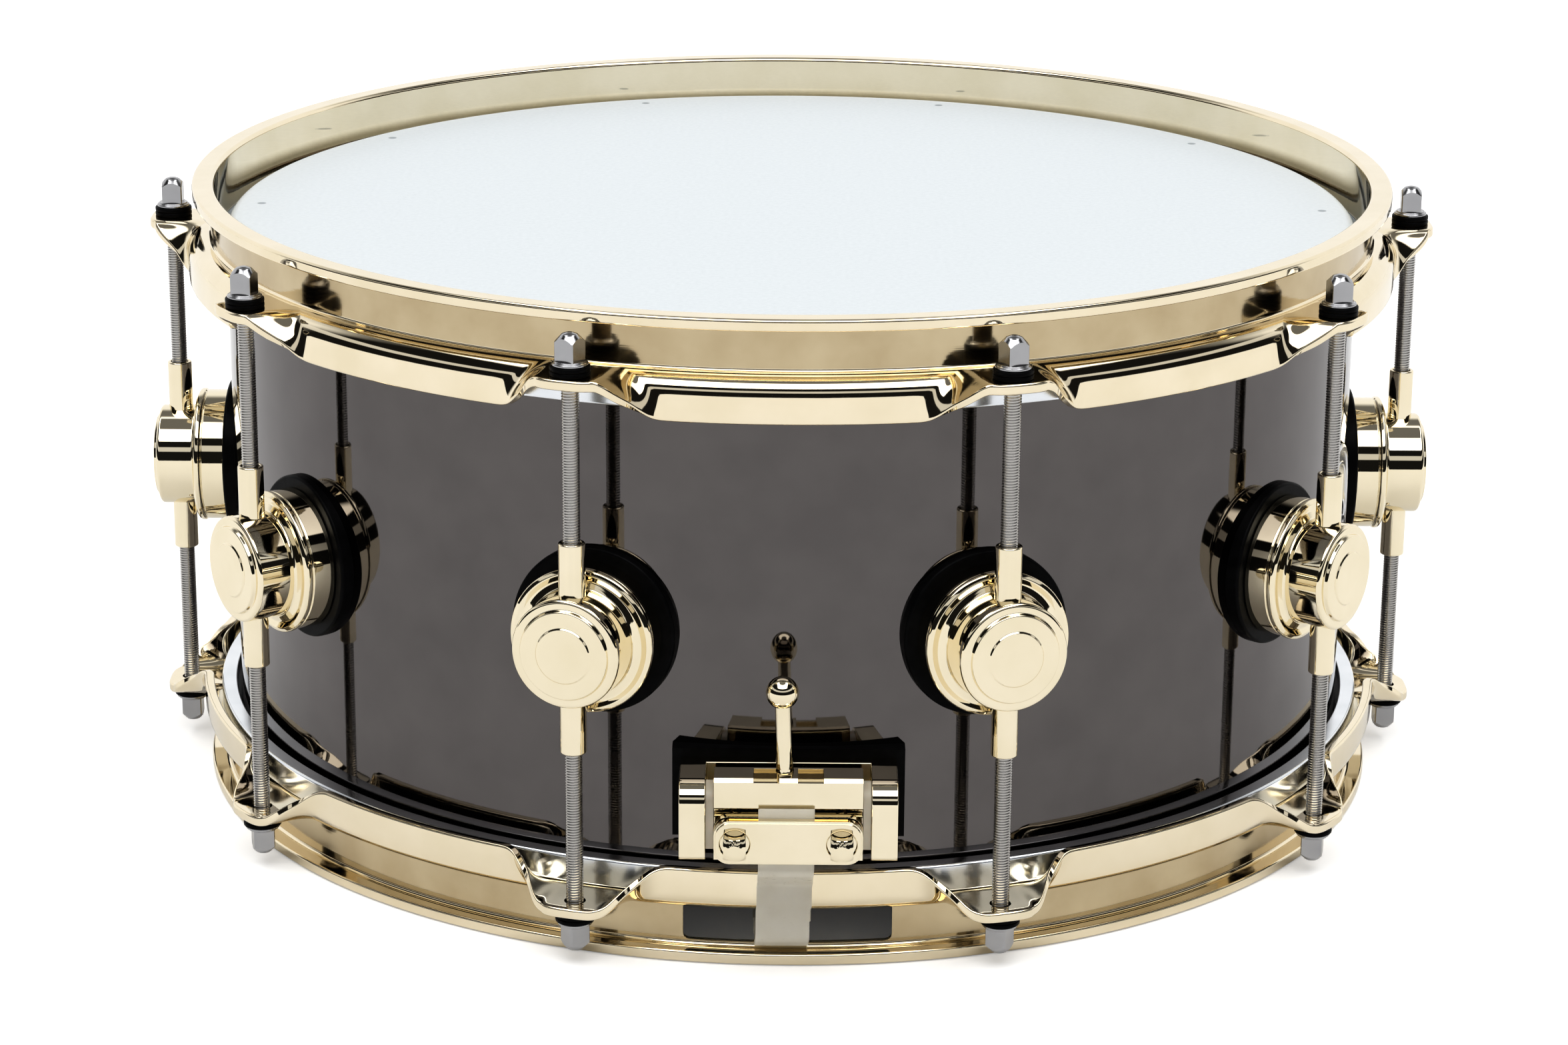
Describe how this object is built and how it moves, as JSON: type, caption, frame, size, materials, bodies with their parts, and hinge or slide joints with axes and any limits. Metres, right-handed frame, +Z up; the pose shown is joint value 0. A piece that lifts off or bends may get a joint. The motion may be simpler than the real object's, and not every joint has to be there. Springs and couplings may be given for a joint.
{
  "type": "snare drum",
  "caption": "Metal snare drum with turned gold lugs, flanged hoops, two heads, tension rods, a lever snare clamp in front and a screw one behind.",
  "frame": {"origin": "on the rest plane under the lower rim, on the shell's axis", "axes": "+Z up along the shell's axis, -Y towards the lever clamp at the front"},
  "size_m": [0.4082, 0.4268, 0.1908],
  "materials": {
    "shell": "polished black nickel plating",
    "badge": "satin",
    "vent_grommet": "polished",
    "gold_lug": "polished gold plating",
    "gold_hoop": "polished gold plating",
    "gold_clamp": "polished gold plating",
    "rubber": "satin moulded",
    "rod_washer": "satin black",
    "rod_steel": "stainless, machined",
    "screw_steel": "polished",
    "batter_film": "coated, fine rough spray",
    "snare_film": "clear thin film",
    "flesh_hoop": "bright rolled",
    "nylon": "natural nylon",
    "strap": "frosted translucent film",
    "snare_steel": "bright wire",
    "end_plate": "satin"
  },
  "bodies": {
    "drum": {"shell": "shell", "badge": "badge", "vent_grommet": "vent_grommet", "lug_gaskets": "rubber", "lug_bodies": "gold_lug", "lug_sleeves": "gold_lug", "lug_mount_screws": "screw_steel", "batter_head_film": "batter_film", "batter_flesh_hoop": "flesh_hoop", "top_hoop_rim": "gold_hoop", "top_hoop_skirt": "gold_hoop", "top_rod_washers": "rod_washer", "snare_head_film": "snare_film", "snare_flesh_hoop": "flesh_hoop", "bottom_hoop_rim": "gold_hoop", "bottom_hoop_skirt": "gold_hoop", "bottom_rod_washers": "rod_washer", "strainer_gasket": "rubber", "strainer_base": "gold_clamp", "strainer_pivot_pin": "screw_steel", "strainer_nylon_liners": "nylon", "strainer_mount_screws": "screw_steel", "butt_gasket": "rubber", "butt_base": "gold_clamp", "butt_mount_screws": "screw_steel", "snare_strap_rear": "strap", "snare_end_plates": "end_plate", "snare_wires": "snare_steel"},
    "top_rod_01": {"top_rod_01": "rod_steel"},
    "top_rod_02": {"top_rod_02": "rod_steel"},
    "top_rod_03": {"top_rod_03": "rod_steel"},
    "top_rod_04": {"top_rod_04": "rod_steel"},
    "top_rod_05": {"top_rod_05": "rod_steel"},
    "top_rod_06": {"top_rod_06": "rod_steel"},
    "top_rod_07": {"top_rod_07": "rod_steel"},
    "top_rod_08": {"top_rod_08": "rod_steel"},
    "top_rod_09": {"top_rod_09": "rod_steel"},
    "top_rod_10": {"top_rod_10": "rod_steel"},
    "bottom_rod_01": {"bottom_rod_01": "rod_steel"},
    "bottom_rod_02": {"bottom_rod_02": "rod_steel"},
    "bottom_rod_03": {"bottom_rod_03": "rod_steel"},
    "bottom_rod_04": {"bottom_rod_04": "rod_steel"},
    "bottom_rod_05": {"bottom_rod_05": "rod_steel"},
    "bottom_rod_06": {"bottom_rod_06": "rod_steel"},
    "bottom_rod_07": {"bottom_rod_07": "rod_steel"},
    "bottom_rod_08": {"bottom_rod_08": "rod_steel"},
    "bottom_rod_09": {"bottom_rod_09": "rod_steel"},
    "bottom_rod_10": {"bottom_rod_10": "rod_steel"},
    "lever": {"lever_block": "gold_clamp", "lever_stem": "gold_clamp", "lever_ball": "gold_clamp"},
    "strainer_clamp": {"strainer_carriage": "gold_clamp", "strainer_clamp_jaw": "gold_clamp", "strainer_clamp_screws": "gold_clamp", "snare_strap_front": "strap"},
    "butt_knob": {"butt_adjuster_knob": "gold_clamp"},
    "butt_clamp": {"butt_carriage": "gold_clamp", "butt_clamp_jaw": "gold_clamp", "butt_clamp_screws": "gold_clamp"}
  },
  "joints": [
    {"name": "top_rod_01_turn", "type": "hinge", "parent": "drum", "child": "top_rod_01", "pos_m": [0.06057, -0.18641, 0.1454], "axis": [0, 0, 1], "continuous": true},
    {"name": "top_rod_02_turn", "type": "hinge", "parent": "drum", "child": "top_rod_02", "pos_m": [0.15857, -0.11521, 0.1454], "axis": [0, 0, 1], "continuous": true},
    {"name": "top_rod_03_turn", "type": "hinge", "parent": "drum", "child": "top_rod_03", "pos_m": [0.196, 0, 0.1454], "axis": [0, 0, 1], "continuous": true},
    {"name": "top_rod_04_turn", "type": "hinge", "parent": "drum", "child": "top_rod_04", "pos_m": [0.15857, 0.11521, 0.1454], "axis": [0, 0, 1], "continuous": true},
    {"name": "top_rod_05_turn", "type": "hinge", "parent": "drum", "child": "top_rod_05", "pos_m": [0.06057, 0.18641, 0.1454], "axis": [0, 0, 1], "continuous": true},
    {"name": "top_rod_06_turn", "type": "hinge", "parent": "drum", "child": "top_rod_06", "pos_m": [-0.06057, 0.18641, 0.1454], "axis": [0, 0, 1], "continuous": true},
    {"name": "top_rod_07_turn", "type": "hinge", "parent": "drum", "child": "top_rod_07", "pos_m": [-0.15857, 0.11521, 0.1454], "axis": [0, 0, 1], "continuous": true},
    {"name": "top_rod_08_turn", "type": "hinge", "parent": "drum", "child": "top_rod_08", "pos_m": [-0.196, 0, 0.1454], "axis": [0, 0, 1], "continuous": true},
    {"name": "top_rod_09_turn", "type": "hinge", "parent": "drum", "child": "top_rod_09", "pos_m": [-0.15857, -0.11521, 0.1454], "axis": [0, 0, 1], "continuous": true},
    {"name": "top_rod_10_turn", "type": "hinge", "parent": "drum", "child": "top_rod_10", "pos_m": [-0.06057, -0.18641, 0.1454], "axis": [0, 0, 1], "continuous": true},
    {"name": "bottom_rod_01_turn", "type": "hinge", "parent": "drum", "child": "bottom_rod_01", "pos_m": [0.06057, -0.18641, 0.0454], "axis": [0, 0, 1], "continuous": true},
    {"name": "bottom_rod_02_turn", "type": "hinge", "parent": "drum", "child": "bottom_rod_02", "pos_m": [0.15857, -0.11521, 0.0454], "axis": [0, 0, 1], "continuous": true},
    {"name": "bottom_rod_03_turn", "type": "hinge", "parent": "drum", "child": "bottom_rod_03", "pos_m": [0.196, 0, 0.0454], "axis": [0, 0, 1], "continuous": true},
    {"name": "bottom_rod_04_turn", "type": "hinge", "parent": "drum", "child": "bottom_rod_04", "pos_m": [0.15857, 0.11521, 0.0454], "axis": [0, 0, 1], "continuous": true},
    {"name": "bottom_rod_05_turn", "type": "hinge", "parent": "drum", "child": "bottom_rod_05", "pos_m": [0.06057, 0.18641, 0.0454], "axis": [0, 0, 1], "continuous": true},
    {"name": "bottom_rod_06_turn", "type": "hinge", "parent": "drum", "child": "bottom_rod_06", "pos_m": [-0.06057, 0.18641, 0.0454], "axis": [0, 0, 1], "continuous": true},
    {"name": "bottom_rod_07_turn", "type": "hinge", "parent": "drum", "child": "bottom_rod_07", "pos_m": [-0.15857, 0.11521, 0.0454], "axis": [0, 0, 1], "continuous": true},
    {"name": "bottom_rod_08_turn", "type": "hinge", "parent": "drum", "child": "bottom_rod_08", "pos_m": [-0.196, 0, 0.0454], "axis": [0, 0, 1], "continuous": true},
    {"name": "bottom_rod_09_turn", "type": "hinge", "parent": "drum", "child": "bottom_rod_09", "pos_m": [-0.15857, -0.11521, 0.0454], "axis": [0, 0, 1], "continuous": true},
    {"name": "bottom_rod_10_turn", "type": "hinge", "parent": "drum", "child": "bottom_rod_10", "pos_m": [-0.06057, -0.18641, 0.0454], "axis": [0, 0, 1], "continuous": true},
    {"name": "lever_swing", "type": "hinge", "parent": "drum", "child": "lever", "pos_m": [0, -0.1965, 0.0543], "axis": [1, 0, 0], "range_deg": [0, 45]},
    {"name": "strainer_clamp_slide", "type": "slide", "parent": "drum", "child": "strainer_clamp", "axis": [0, 0, -1], "range_m": [0, 0.0035]},
    {"name": "butt_knob_turn", "type": "hinge", "parent": "drum", "child": "butt_knob", "pos_m": [0, 0.1935, 0.0654], "axis": [0, 0, 1], "range_deg": [-720, 720]},
    {"name": "butt_clamp_slide", "type": "slide", "parent": "drum", "child": "butt_clamp", "axis": [0, 0, 1], "range_m": [-0.0014, 0.0014]}
  ],
  "couplings": [
    {"joint": "lever_swing", "follows": "strainer_clamp_slide", "rad_per_m": 224.3},
    {"joint": "butt_knob_turn", "follows": "butt_clamp_slide", "rad_per_m": -8975}
  ]
}
